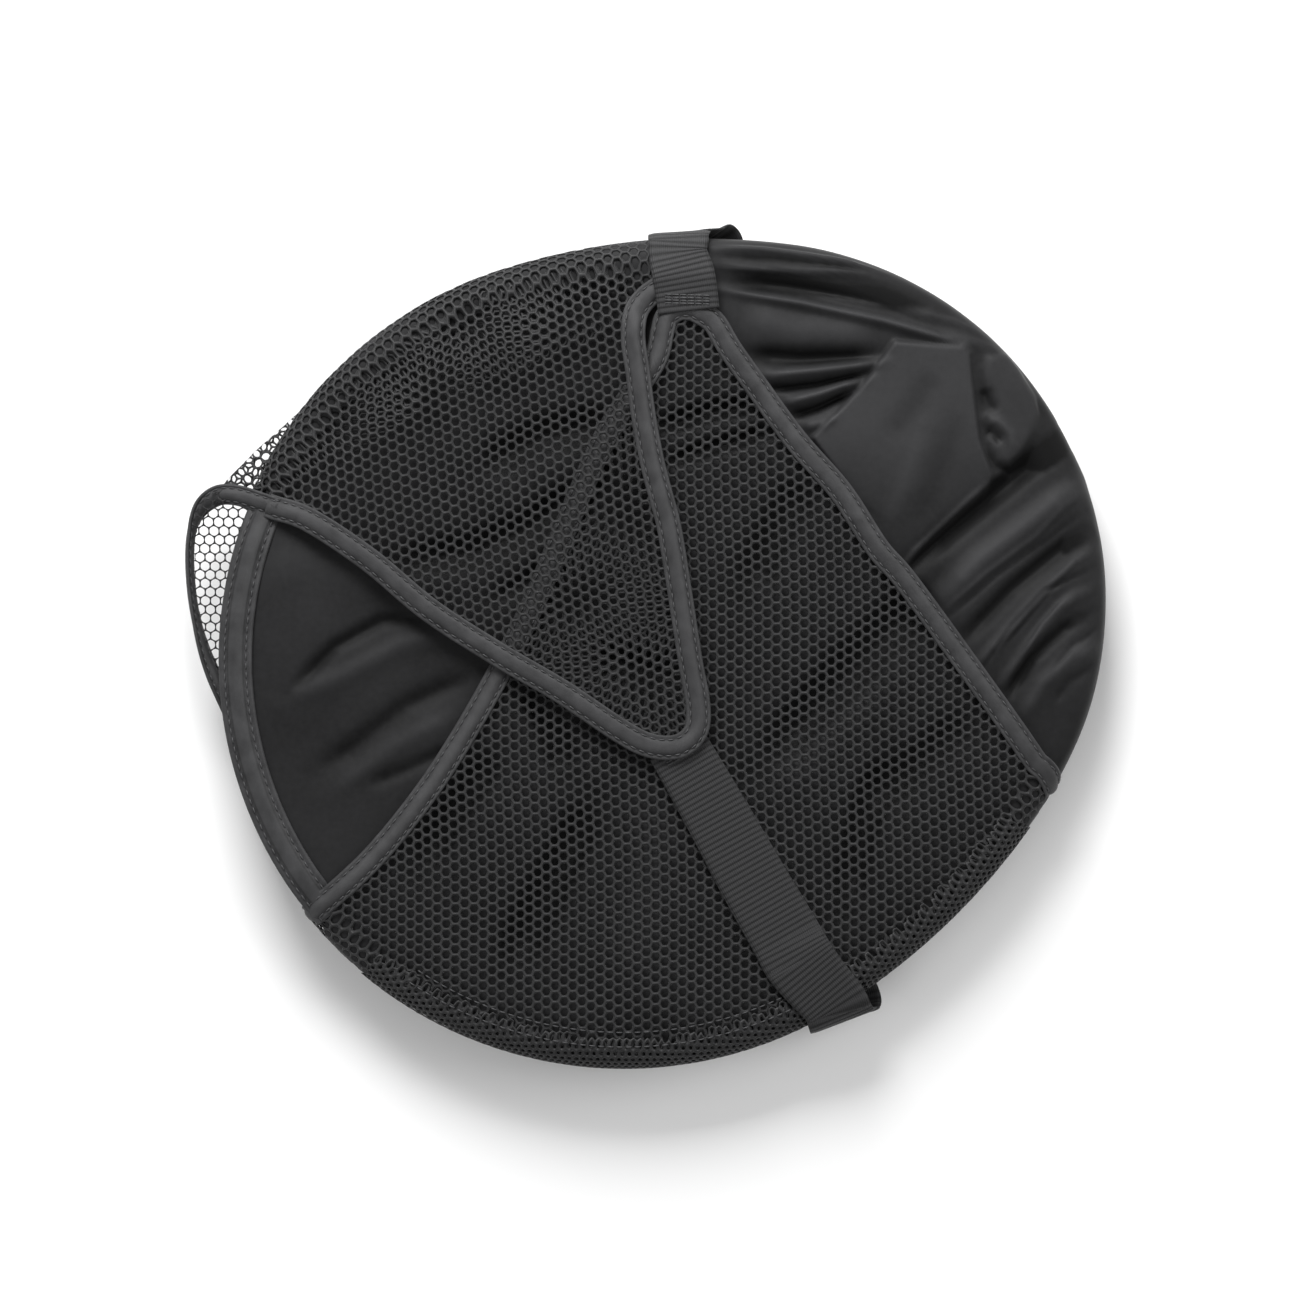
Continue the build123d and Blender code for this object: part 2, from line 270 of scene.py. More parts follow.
# %% Tape, elastic and thread
def tape_finish():
    finish = Finish("binding_tape", roughness=0.5, sheen=0.08, specular=0.25)
    lie = finish.lie()
    across, along = finish.axis(lie, "X"), finish.axis(lie, "Y")
    twill = ((across + along) * (2 * np.pi / 0.55)).sine()
    patch = finish.noise(finish.place(), 170, 5)
    # Painted shade: the colour darkens along each stitch groove, where the tape dips.
    groove_shade = (1 - ((across.size() - 2.95) * 1.7).size()).clamp()
    shade = (patch * 1.1 + twill * 0.12 - groove_shade * 0.4).clamp()
    return finish.feed(Base_Color=finish.colour(shade, (0.011, 0.011, 0.0115), (0.05, 0.05, 0.052)),
                       Roughness=0.42 + patch * 0.2,
                       Normal=finish.bump(twill, 0.05 * MM, 0.7))


def elastic_finish():
    finish = Finish("elastic_webbing", roughness=0.6, sheen=0.06, specular=0.2)
    lie = finish.lie()
    across = (finish.axis(lie, "X") * (2 * np.pi / 0.8)).sine()
    fibre = finish.noise(finish.place(), 1500, 2)
    # Painted light and shade: a wave at the ribs' pitch makes the colour lighter on each rib's crest and
    # darker in the gaps.
    along = (finish.axis(lie, "Y") * (2 * np.pi / 2.1)).cosine()
    shade = (fibre * 0.4 + across * 0.1 + 0.3 - along * 0.3).clamp()
    return finish.feed(Base_Color=finish.colour(shade, (0.007, 0.007, 0.0073), (0.036, 0.036, 0.0373)),
                       Normal=finish.bump(across + fibre, 0.06 * MM, 0.7))


def thread_finish():
    finish = Finish("thread", roughness=0.45, specular=0.3)
    fibre = finish.noise(finish.place(), 3000, 1)
    return finish.feed(Base_Color=finish.colour(fibre, (0.03, 0.03, 0.031), (0.075, 0.075, 0.078)))


def steel_finish(name, dark, light):
    finish = Finish(name, roughness=0.3, metallic=1.0)
    grain = finish.noise(finish.place(), 900)
    return finish.feed(Base_Color=finish.colour(grain, dark, light), Roughness=0.22 + grain * 0.2)


cloth = cloth_finish()
net = net_finish()
tape = tape_finish()
elastic = elastic_finish()
thread = thread_finish()
spring_steel = steel_finish("spring_wire", (0.16, 0.165, 0.18), (0.3, 0.305, 0.32))
ferrule_steel = steel_finish("ferrule_metal", (0.4, 0.4, 0.42), (0.6, 0.6, 0.62))
for node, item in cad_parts.items():
    finish = ferrule_steel if node == "hoop_ferrules" else spring_steel
    item.data.materials.clear()
    item.data.materials.append(finish)

# %% [markdown]
# The floor is a large plane with a barely mottled white paint, so that it reads as a surface.

# %% Floor
floor_paint = Finish("floor_paint", roughness=0.8)
mottle = floor_paint.noise(floor_paint.place(), 3)
floor_material = floor_paint.feed(Base_Color=floor_paint.colour(mottle, (0.86, 0.86, 0.86), (0.9, 0.9, 0.9)))
floor_mesh = bpy.data.meshes.new("floor")
reach = 4.0
floor_mesh.from_pydata([(-reach, -reach, 0), (reach, -reach, 0), (reach, reach, 0), (-reach, reach, 0)],
                       [], [(0, 1, 2, 3)])
floor = bpy.data.objects.new("floor", floor_mesh)
floor_mesh.materials.append(floor_material)
scene.collection.objects.link(floor)
floor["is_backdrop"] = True

# %% [markdown]
# Every soft layer follows the same body: an oval stack of hoops with a rounded rim. So the layers are
# drawn on a flat plan and laid over that body by one function. On the plan a point may lie past the
# rim. Laying it down bends it round the rim and underneath without stretching it, as cloth would.
# All sizes here are millimetres, and become metres when a mesh is made.

# %% The oval rim
rim_length = 345.0
rim_tilt = np.radians(25.4)
rim_centre = np.array([7.0, 2.8])
nose_radius, tail_radius, side_radius = 137.6, 155.8, 256.6
rim_round = 10.1
rim_level = 17.1
nose_x = rim_length / 2 - nose_radius
tail_x = tail_radius - rim_length / 2
spread = nose_x - tail_x
tail_rise = side_radius - tail_radius
side_x = tail_x + (tail_rise**2 - (side_radius - nose_radius) ** 2 + spread**2) / (2 * spread)
side_y = np.sqrt(tail_rise**2 - (side_x - tail_x) ** 2)
nose_turn = np.arctan2(side_y, nose_x - side_x)
tail_turn = np.arctan2(side_y, tail_x - side_x)


def rim_outline():
    """Polar angle and reach of the oval from its centre, once round."""
    turn = np.radians(np.arange(-180, 180, 0.5))
    nose, tail = np.abs(turn) <= nose_turn, np.abs(turn) >= tail_turn
    x = np.where(nose, nose_x, np.where(tail, tail_x, side_x))
    y = np.where(nose | tail, 0, -np.sign(turn) * side_y)
    radius = np.where(nose, nose_radius, np.where(tail, tail_radius, side_radius))
    x, y = x + radius * np.cos(turn), y + radius * np.sin(turn)
    angle = np.arctan2(y, x) + rim_tilt
    order = np.argsort(angle % (2 * np.pi))
    return (angle % (2 * np.pi))[order], np.hypot(x, y)[order]


rim_angles, rim_reaches = rim_outline()


def rim_reach(angle):
    """How far the rim is from the pack's centre, in a direction."""
    return np.interp(angle % (2 * np.pi), rim_angles, rim_reaches, period=2 * np.pi)


def inset(plan):
    """How far inside the rim a point of the plan lies; negative past the rim."""
    away = plan - rim_centre
    return rim_reach(np.arctan2(away[..., 1], away[..., 0])) - np.hypot(away[..., 0], away[..., 1])


def smooth(value, low, high):
    """0 below low, 1 above high, and an eased step between."""
    share = np.clip((value - low) / (high - low), 0, 1)
    return share * share * (3 - 2 * share)


def squared(wave):
    """Makes a round profile squarer, since the rim is a stack of flat hoops."""
    return np.sign(wave) * np.abs(wave) ** 0.7


def lay(plan, lift, under=False):
    """Lay points of the plan on the pack, lifted off it; past the rim they go round and beneath."""
    away = plan - rim_centre
    angle = np.arctan2(away[..., 1], away[..., 0])
    rim = rim_reach(angle)
    inside = rim - np.hypot(away[..., 0], away[..., 1])
    turn = np.clip((rim_round - inside) / rim_round, 0, np.pi)
    out = rim - np.where(turn > 0, rim_round - (rim_round + lift) * squared(np.sin(turn)), inside)
    side = -1 if under else 1
    z = rim_level + side * np.where(turn > 0, (rim_round + lift) * squared(np.cos(turn)), rim_round + lift)
    return np.stack([rim_centre[0] + out * np.cos(angle), rim_centre[1] + out * np.sin(angle), z], -1)


print("rim", rim_reaches.min().round(1), "to", rim_reaches.max().round(1), "mm from its centre")

# %% [markdown]
# Meshes are made from whole arrays of points. A grid of points becomes quads, and a second set of
# numbers, the UV map, says where each point lies across and along its tape.

# %% Mesh helpers
def grid_quads(rows, columns, ring=False):
    """Quads over a rows by columns grid of points; ring joins the last column to the first."""
    row, column = np.meshgrid(np.arange(rows - 1), np.arange(columns if ring else columns - 1), indexing="ij")
    right = (column + 1) % columns
    corners = [row * columns + column, row * columns + right,
               (row + 1) * columns + right, (row + 1) * columns + column]
    return np.stack([corner.ravel() for corner in corners], 1)


def piece(name, points, faces, material, body, lie=None):
    """A smooth mesh object from points in millimetres, riding on a body."""
    name += "_shown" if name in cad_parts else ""
    mesh = bpy.data.meshes.new(name)
    faces = faces if isinstance(faces, list) else faces.tolist()
    mesh.from_pydata((np.asarray(points).reshape(-1, 3) * MM).tolist(), [], faces)
    mesh.polygons.foreach_set("use_smooth", np.ones(len(mesh.polygons), bool))
    if lie is not None:
        layer = mesh.uv_layers.new(name="lie")
        index = np.empty(len(mesh.loops), int)
        mesh.loops.foreach_get("vertex_index", index)
        layer.data.foreach_set("uv", np.asarray(lie).reshape(-1, 2)[index].ravel())
    mesh.materials.append(material)
    item = bpy.data.objects.new(name, mesh)
    scene.collection.objects.link(item)
    if body:
        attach(item, body)
    return item


def curve_through(knots, count):
    """A curve through the knots, with the same number of points from each knot to the next."""
    knots = np.array(knots, float)
    ends = np.vstack([2 * knots[0] - knots[1], knots, 2 * knots[-1] - knots[-2]])
    share = np.linspace(0, 1, count, endpoint=False)[:, None]
    spans = []
    for a, b, c, d in zip(ends, ends[1:], ends[2:], ends[3:]):
        spans.append(0.5 * (2 * b + (c - a) * share + (2 * a - 5 * b + 4 * c - d) * share**2
                            + (3 * b - a - 3 * c + d) * share**3))
    return np.vstack(spans + [knots[-1:]])


def smooth_line(knots, step):
    """A curve through the knots, as points about one step apart."""
    return even_line(curve_through(knots, 24), step)


def even_line(line, step):
    """The same line with its points one step apart."""
    along = np.append(0, np.cumsum(np.linalg.norm(np.diff(line, axis=0), axis=1)))
    count = max(int(round(along[-1] / step)) + 1, 2)
    marks = np.linspace(0, along[-1], count)
    return np.stack([np.interp(marks, along, line[:, k]) for k in range(line.shape[1])], 1)


def left_of(line):
    """The unit direction to the left of a flat line, at each of its points."""
    along = np.gradient(line, axis=0)
    along /= np.linalg.norm(along, axis=1)[:, None]
    return np.stack([-along[:, 1], along[:, 0]], 1)


def inside_of(plan, outline):
    """Which points of the plan lie inside a closed outline."""
    x, y = plan[:, 0], plan[:, 1]
    within = np.zeros(len(plan), bool)
    for (x0, y0), (x1, y1) in zip(outline, np.roll(outline, -1, axis=0)):
        if y0 != y1:
            within ^= ((y0 > y) != (y1 > y)) & (x < (x1 - x0) * (y - y0) / (y1 - y0) + x0)
    return within


def distance_to(plan, line):
    """How far each point of the plan is from a line of points."""
    best = np.full(len(plan), 1e9)
    for start, end in zip(line[:-1], line[1:]):
        run = end - start
        share = np.clip(((plan - start) @ run) / max(run @ run, 1e-9), 0, 1)
        best = np.minimum(best, np.linalg.norm(plan - start - share[:, None] * run, axis=1))
    return best


# %% [markdown]
# A binding, a strap and a wire are all sections carried along a line. A station of the line has a
# centre, a direction across and, from the run of the line, a direction up. Open ends are capped with
# one face, so that each of these pieces is a closed solid.

# %% Sections carried along a line
def carry(name, centre, across, section, material, body, ends=True):
    """A closed section (across, up) carried along a line of stations."""
    along = np.gradient(centre, axis=0)
    along /= np.linalg.norm(along, axis=1)[:, None]
    across = across - np.sum(across * along, 1)[:, None] * along
    across /= np.linalg.norm(across, axis=1)[:, None]
    up = np.cross(along, across)
    section = np.broadcast_to(section, (len(centre), *np.shape(section)[-2:]))
    points = (centre[:, None] + across[:, None] * section[..., :1] + up[:, None] * section[..., 1:2])
    run = np.append(0, np.cumsum(np.linalg.norm(np.diff(centre, axis=0), axis=1)))
    lie = np.stack([section[..., 0], np.broadcast_to(run[:, None], section.shape[:2])], -1)
    rows, columns = points.shape[:2]
    faces = grid_quads(rows, columns, ring=True).tolist()
    if ends:
        faces += [list(range(columns))[::-1], list(range((rows - 1) * columns, rows * columns))]
    return piece(name, points, faces, material, body, lie), up


def laid_stations(line, lift, under=False, width=2.0):
    """Stations of a line of the plan, laid on the pack: centres and directions across."""
    lift = np.broadcast_to(lift, len(line))
    side = left_of(line) * width
    centre = lay(line, lift, under)
    return centre, lay(line + side, lift, under) - lay(line - side, lift, under)


def tape_section(width=9.2, crown=1.5, edge=0.55, count=21):
    """A folded binding: flat lips, a stitch groove at each side and a crown over the wire."""
    across = np.linspace(-width / 2, width / 2, count)
    reach = np.abs(across) / (width / 2)
    rise = edge + (crown - edge) * np.cos(np.clip((reach - 0.05) / 0.6, 0, 1) * np.pi / 2) ** 0.8
    rise -= 0.3 * np.exp(-(((reach - 0.64) / 0.07) ** 2))
    rise[[0, -1]] *= 0.45
    top = np.stack([across, rise], 1)
    return np.vstack([top, np.stack([across[::-1], -rise[::-1]], 1)])


def round_section(radius, count=8):
    turn = np.arange(count) * 2 * np.pi / count
    return np.stack([radius * np.cos(turn), -radius * np.sin(turn)], 1)

# %% [markdown]
# The stitches are short threads that stand proud of the tape and dive at both ends. They run along
# each binding in two lines, one in each groove.

# %% Stitches
def stitch_points(centre, across, offset, height, pitch=3.5, length=2.6, radius=0.24):
    """Points and faces of a line of stitches beside a line of stations."""
    along = np.gradient(centre, axis=0)
    along /= np.linalg.norm(along, axis=1)[:, None]
    across = across / np.linalg.norm(across, axis=1)[:, None]
    up = np.cross(along, across)
    path = centre + across * offset + up * height
    run = np.append(0, np.cumsum(np.linalg.norm(np.diff(path, axis=0), axis=1)))
    starts = np.arange(1.0, run[-1] - length, pitch)
    marks = starts[:, None] + np.linspace(0, length, 6)
    dive = np.array([-0.45, 0.0, 0.12, 0.12, 0.0, -0.45])

    def read(values):
        return np.stack([np.interp(marks, run, values[:, k]) for k in range(3)], -1)

    middle, side, rise = read(path), read(across), read(up)
    middle = middle + rise * dive[:, None]
    turn = np.arange(6) * np.pi / 3
    thick = radius * np.array([0.5, 1, 1, 1, 1, 0.5])[:, None, None]
    ring = side[:, :, None] * np.cos(turn)[:, None] - rise[:, :, None] * np.sin(turn)[:, None]
    points = middle[:, :, None] + ring * thick
    one = grid_quads(6, 6, ring=True).tolist() + [list(range(6))[::-1], list(range(30, 36))]
    faces = [[corner + 36 * index for corner in face] for index in range(len(starts)) for face in one]
    return points.reshape(-1, 3), faces


def stitches(name, lines, body):
    """One thread piece from several lines of stitches."""
    points, faces, start = [], [], 0
    for line_points, line_faces in lines:
        points.append(line_points)
        faces += [[corner + start for corner in face] for face in line_faces]
        start += len(line_points)
    item = piece(name, np.vstack(points), faces, thread, body)
    return item


# %% [markdown]
# The net is knitted in hexagons. Each cell is a border of twelve points and a smaller ring of twelve
# round its hole. The border is thicker than the ring, so a thread has a lens-shaped section. Cells
# share their border points. The whole net is then laid on the pack like the other layers.

# %% A hexagonal net
def knit(outline, turn=0.0, pitch=4.0, hole=1.42, thick=0.7, warp=0.5, phase=0.0, keep=None):
    """A net over an outline of the plan: plan points, heights and faces."""
    outline = np.asarray(outline)
    low, high = outline.min(0) - 8, outline.max(0) + 8
    middle, half = (low + high) / 2, np.hypot(*(high - low)) / 2
    pace = pitch * np.sqrt(3) / 2
    rows = np.arange(-int(half / pace) - 1, int(half / pace) + 2)
    columns = np.arange(-int(half / pitch) - 1, int(half / pitch) + 2)
    row, column = [grid.ravel() for grid in np.meshgrid(rows, columns, indexing="ij")]
    cells = np.stack([(column + 0.5 * (row % 2)) * pitch, row * pace], 1)
    spin = np.array([[np.cos(turn), np.sin(turn)], [-np.sin(turn), np.cos(turn)]])
    settled = cells @ spin + middle
    chosen = inside_of(settled, outline)
    if keep is not None:
        chosen &= keep(settled)
    cells = cells[chosen]
    corner_turn = np.pi / 6 + np.arange(12) * np.pi / 6
    corner = pitch / np.sqrt(3)
    border_reach = np.where(np.arange(12) % 2 == 0, corner, corner * np.cos(np.pi / 6))
    border = np.stack([np.cos(corner_turn), np.sin(corner_turn)], 1) * border_reach[:, None]
    ring = np.stack([np.cos(corner_turn), np.sin(corner_turn)], 1) * hole
    ring[::2] *= 1.05
    borders = (cells[:, None] + border).reshape(-1, 2)
    keys = np.round(borders / 0.05).astype(int)
    shared, first, where = np.unique(keys, axis=0, return_index=True, return_inverse=True)
    where = where.reshape(len(cells), 12)
    count = len(shared)
    rings = (cells[:, None] + ring).reshape(-1, 2)
    ring_index = 2 * count + np.arange(len(rings)).reshape(len(cells), 12)
    following = np.roll(np.arange(12), -1)
    top = np.stack([where, where[:, following], ring_index[:, following], ring_index], -1).reshape(-1, 4)
    bottom = np.stack([where[:, following] + count, where + count, ring_index, ring_index[:, following]],
                      -1).reshape(-1, 4)
    pairs = np.stack([where, where[:, following]], -1).reshape(-1, 2)
    known = {(a, b) for a, b in pairs.tolist()}
    side = [[b, a, a + count, b + count] for a, b in pairs.tolist() if (b, a) not in known]
    flat = np.vstack([borders[first], borders[first], rings])
    height = np.concatenate([np.full(count, thick / 2), np.full(count, -thick / 2), np.zeros(len(rings))])
    plan = flat @ spin + middle
    sway = np.stack([np.sin(plan[:, 1] / 17 + phase) + 0.5 * np.sin(plan[:, 0] / 9 + 2 * phase),
                     np.sin(plan[:, 0] / 21 - phase) + 0.5 * np.sin(plan[:, 1] / 11 + phase)], 1)
    return plan + warp * sway, height, top.tolist() + bottom.tolist() + side


def net_area(outline):
    """Area of an outline in square millimetres."""
    x, y = np.asarray(outline).T
    return 0.5 * abs(np.sum(x * np.roll(y, -1) - y * np.roll(x, -1)))


def declare_net(item, outline, flat, pitch=4.0, hole=1.42, layers=1):
    threads = 1 - np.pi * (1.025 * hole) ** 2 / (pitch**2 * np.sqrt(3) / 2)
    area = max(net_area(outline) * threads * layers, 0.301 * flat[0] * flat[1])
    area * MM**2
    print(item.name, flat, "mm, threads", round(area / 100), "cm2")


def rim_line(first, last, inset_by, count=60):
    """Points of the plan along the rim from one angle to another, in degrees, some way inside it."""
    angle = np.radians(np.linspace(first, last, count))
    away = rim_reach(angle) - inset_by
    return rim_centre + np.stack([np.cos(angle), np.sin(angle)], 1) * away[:, None]


def angle_of(point):
    """Direction of a point from the pack's centre, in degrees."""
    away = np.asarray(point) - rim_centre
    return np.degrees(np.arctan2(away[1], away[0]))


# %% [markdown]
# The outlines come next: the flap's binding, the two long sides of the front fan and the strap. They
# are short lists of points on the plan, since these shapes were pinned and not drafted.

# %% Lines of the plan
flap_right = [(9, 139), (4, 136.8), (-0.6, 133), (-3.8, 127.5), (-4.6, 118), (-2.9, 105.6),
              (-0.4, 87.1), (3.3, 68.3), (8.3, 49.6), (10.7, 37), (14.6, 12), (17.2, -4.8), (20.2, -22),
              (19.2, -32), (12.5, -37.6), (1.9, -37.3), (-9.6, -31.6), (-32.5, -16.3), (-55.5, -2.9),
              (-82.3, 14.4), (-105.3, 33.5), (-128.3, 48.8), (-143, 54.0)]
fan_right = [(20.5, 128.5), (26.4, 124.4), (32.5, 114.3), (41.3, 101.9), (57.6, 79.5), (75, 59.5),
             (88.8, 38.3), (99.6, 25.8), (120.6, -2.9), (139.8, -29.7), (157, -54.6), (166, -68)]
fan_left = [(8.5, 126), (6.5, 120.8), (3.3, 109.4), (-9.8, 90), (-19, 73), (-32.5, 41.2), (-44, 14.4),
            (-55.5, -8.6), (-70.8, -35.4), (-86.2, -58.4), (-105.3, -81.4), (-128.3, -102.4),
            (-140, -112)]
flap_line = smooth_line(flap_right, 1.2)
right_line = smooth_line(fan_right, 1.2)
left_line = smooth_line(fan_left, 1.2)
fold_start, fold_end = np.array([-146.5, 55.0]), np.array([-4.5, 124.5])
fold_run = (fold_end - fold_start) / np.linalg.norm(fold_end - fold_start)
fold_out = np.array([fold_run[1], -fold_run[0]])


fan_low = rim_line(angle_of(right_line[-1]), angle_of(left_line[-1]), -17, 90)
fan_outline = np.vstack([right_line[:-4], fan_low, left_line[:-4][::-1]])
flap_high = rim_line(angle_of((-165, 58)), angle_of((12, 170)), -17, 80)
flap_outline = np.vstack([flap_line, flap_high, [(13, 150), (6, 134)]])
print("front fan", round(net_area(fan_outline) / 100), "cm2, flap and its root",
      round(net_area(flap_outline) / 100), "cm2")

# %% [markdown]
# The cloth walls lie folded under the nets. On the right they come out from under the fan and wrap
# the rim, and that's where their pleats show. A pleat is a ridge or a valley along a short line, and
# an overlapping fold is a step at the edge of an outline. Under the nets the pleats are lower.

# %% Pleats of the cloth
def pleat(plan, line, width, height):
    """A ridge (or valley, for a negative height) along a line, tapering to its ends."""
    line = np.array(line, float)
    length = np.append(0, np.cumsum(np.linalg.norm(np.diff(line, axis=0), axis=1)))
    best = np.full(len(plan), 1e9)
    place = np.zeros(len(plan))
    for start, end, before, after in zip(line[:-1], line[1:], length[:-1], length[1:]):
        run = end - start
        share = np.clip(((plan - start) @ run) / (run @ run), 0, 1)
        away = np.linalg.norm(plan - start - share[:, None] * run, axis=1)
        near = away < best
        best = np.where(near, away, best)
        place = np.where(near, (before + share * (after - before)) / length[-1], place)
    taper = np.clip(np.sin(np.clip(place, 0.04, 0.96) * np.pi) * 1.6, 0, 1)
    return height * taper * np.exp(-((best / width) ** 2))


def step_inside(plan, outline, height, width):
    """A raised panel: full height inside an outline, falling to nothing within a width of its edge."""
    outline = np.array(outline, float)
    closed = np.vstack([outline, outline[:1]])
    away = distance_to(plan, closed)
    return height * smooth(np.where(inside_of(plan, outline), away, 0), 0, width)


right_pleats = [
    ([(24, 152), (45, 151), (75, 147), (92, 143)], 1.3, 1.6),
    ([(26, 148.6), (50, 147.5), (86, 143.5)], 1.0, -1.2),
    ([(26, 146), (50, 144.5), (84, 142)], 1.0, 1.1),
    ([(28, 141), (55, 139), (90, 134), (112, 127)], 3.4, -2.2),
    ([(26, 137.5), (60, 132), (92, 125), (118, 117.5), (133, 113.5)], 1.7, 2.2),
    ([(60, 136), (95, 131), (128, 120)], 1.3, 0.8),
    ([(34, 127), (60, 121), (92, 119)], 7.0, 1.6),
    ([(36, 112.5), (60, 111), (92, 111.5)], 3.6, -2.4),
    ([(44, 104), (66, 106.5), (93, 110)], 2.3, 2.6),
    ([(44, 98.5), (66, 101), (88, 106)], 1.5, -2.2),
    ([(52, 93.5), (66, 97), (84, 103)], 2.0, 2.2),
    ([(54, 88), (66, 92), (80, 99)], 1.8, -2.3),
    ([(60, 84.5), (68, 86), (74, 90)], 2.0, 1.2),
    ([(176, 92), (161, 80), (147, 69.5), (133, 58), (118, 45.5), (96, 26)], 4.0, -3.6),
    ([(135, 66), (122, 54), (104, 37), (96, 27)], 1.6, 1.5),
    ([(170, 66), (150, 50), (128, 33), (109, 14)], 4.6, 2.1),
    ([(171, 55), (155, 42), (135, 28), (112, 8)], 1.2, -0.5),
    ([(173, 48), (157, 36), (140, 22), (118, -1)], 3.4, -2.1),
    ([(168, 62), (150, 43), (130, 28), (112, 12)], 0.9, 0.5),
    ([(171, 37), (158, 25), (146, 11), (134, -3)], 0.9, -0.7),
    ([(164, 22), (152, 9), (143, -6)], 0.8, 0.7),
    ([(173, 9), (164, 1), (155, -10)], 0.8, -0.6),
    ([(174, 41), (160, 28), (146, 14), (131, -3), (124, -12)], 2.2, 1.5),
    ([(170, 30), (153, 22), (140, 8), (126, -12)], 0.9, -0.9),
    ([(172, 25), (159, 15), (147, 1), (134, -18)], 2.0, 1.2),
    ([(170, 14), (160, 7), (148, -4), (137, -22)], 2.4, -1.7),
    ([(174, 4), (163, -4), (152, -14), (143, -30)], 3.0, 1.3),
    ([(171, -6), (163, -12), (156, -22)], 1.6, -0.7),
    ([(112, 106), (104, 92), (92, 78)], 5.0, -0.7),
    ([(122, 92), (114, 70), (103, 44)], 5.0, -0.6),
    ([(108, 84), (100, 62), (92, 44)], 4.0, 0.6),
]
left_pleats = [
    ([(-150, 30), (-125, 32), (-96, 24)], 9.0, 1.0),
    ([(-82, 12.5), (-101, 10.5), (-119, 0.5), (-137, -18)], 2.8, -2.0),
    ([(-70, 8), (-94, 1), (-117, -11.5), (-141, -21)], 4.0, 1.3),
    ([(-62, -8), (-92, -22), (-114, -39), (-128, -48)], 4.0, -1.7),
    ([(-70, -24), (-96, -38), (-122, -57)], 4.0, 1.1),
    ([(-70, -37), (-93, -47), (-108, -53)], 3.0, -1.3),
]
under_pleats = [
    ([(-98, 33), (-66, 37), (-44, 47), (-20, 64)], 6.0, -5.0),
    ([(-66, 68), (-40, 81), (-10, 88)], 6.5, -5.0),
    ([(-60, 18), (-44, 26), (-30, 38)], 4.0, -2.5),
    ([(-20, -3), (4, -8), (14, -10)], 6.0, -4.5),
    ([(2, 84), (26, 91), (48, 94)], 3.4, -5.0),
    ([(6, 70), (26, 77), (52, 84)], 3.0, -4.0),
    ([(38, 20), (48, 42), (62, 66)], 7.0, -4.0),
    ([(112, 26), (86, 0), (64, -24), (42, -46)], 8.0, -5.0),
    ([(126, -24), (104, -44), (84, -62)], 7.0, -3.0),
    ([(-20, -58), (-36, -90), (-54, -126)], 7.0, -5.0),
    ([(-56, -38), (-76, -66), (-88, -86)], 6.0, -4.0),
    ([(92, -40), (82, -74), (76, -100)], 6.0, -4.0),
    ([(-46, -14), (-36, -30), (-30, -48)], 6.0, -4.0),
    ([(6, -60), (0, -96), (-8, -130)], 9.0, 1.4),
    ([(94, -14), (72, -34), (50, -58)], 6.0, 1.4),
]
big_fold = [(94.8, 118.6), (108, 117.6), (122.2, 116.2), (125, 113), (126, 104), (127.2, 93.3), (129, 80),
            (134, 66), (128, 48), (104, 40), (80, 56), (62.5, 80.8), (72, 90), (84, 103)]
ear_fold = [(127.6, 111.5), (133, 112.6), (139, 114.8), (146, 106), (151, 96), (150, 82), (145, 73),
            (139.8, 68.2), (134, 70.6), (130.6, 77), (128.8, 92)]


def cloth_rise(plan):
    """Height of the cloth's folds over the plan."""
    covered = np.maximum(inside_of(plan, fan_outline), inside_of(plan, flap_outline))
    rise = np.zeros(len(plan))
    for line, width, height in right_pleats:
        rise += pleat(plan, line, width, 1.35 * height)
    for line, width, height in left_pleats:
        rise += pleat(plan, line, width, height)
    rise += step_inside(plan, big_fold, 2.6, 1.9) * smooth(plan[:, 1], 44, 88)
    rise += step_inside(plan, ear_fold, 1.6, 3.4)
    rise += pleat(plan, [(129.6, 100), (131.5, 94), (133.5, 89.5)], 2.6, -2.6)
    rise += pleat(plan, [(130.5, 84.5), (134, 81.5), (137, 78.5)], 1.9, -2.2)
    rise += pleat(plan, [(129.5, 87.5), (135, 87), (140, 82), (141, 74)], 1.5, 1.1)
    rise += pleat(plan, [(143, 108), (148, 96), (153, 87)], 2.2, -0.9)
    rise += pleat(plan, [(130, 76), (134, 70), (140, 67), (146, 71)], 1.0, -1.0)
    for line, width, height in under_pleats:
        rise += pleat(plan, line, width, height)
    slow = (np.sin(plan[:, 0] / 23 + 1.3) * np.sin(plan[:, 1] / 19 + 0.4)
            + 0.5 * np.sin((plan[:, 0] + plan[:, 1]) / 11))
    fine = np.sin(plan[:, 0] / 5.1 + 2 * np.sin(plan[:, 1] / 13)) * np.sin(plan[:, 1] / 6.3)
    rise += 0.3 * slow + 0.06 * fine
    return np.where(covered > 0, np.minimum(rise, 1.4), rise)


# %% [markdown]
# The front cloth is one sheet on rings round the pack's centre. Its edge wraps the rim on the right
# and tucks in under the top hoop on the left. A valley may be deep where the pack is hollow, but
# near the rim the hoops are right below the cloth, and there its folds are held off them.

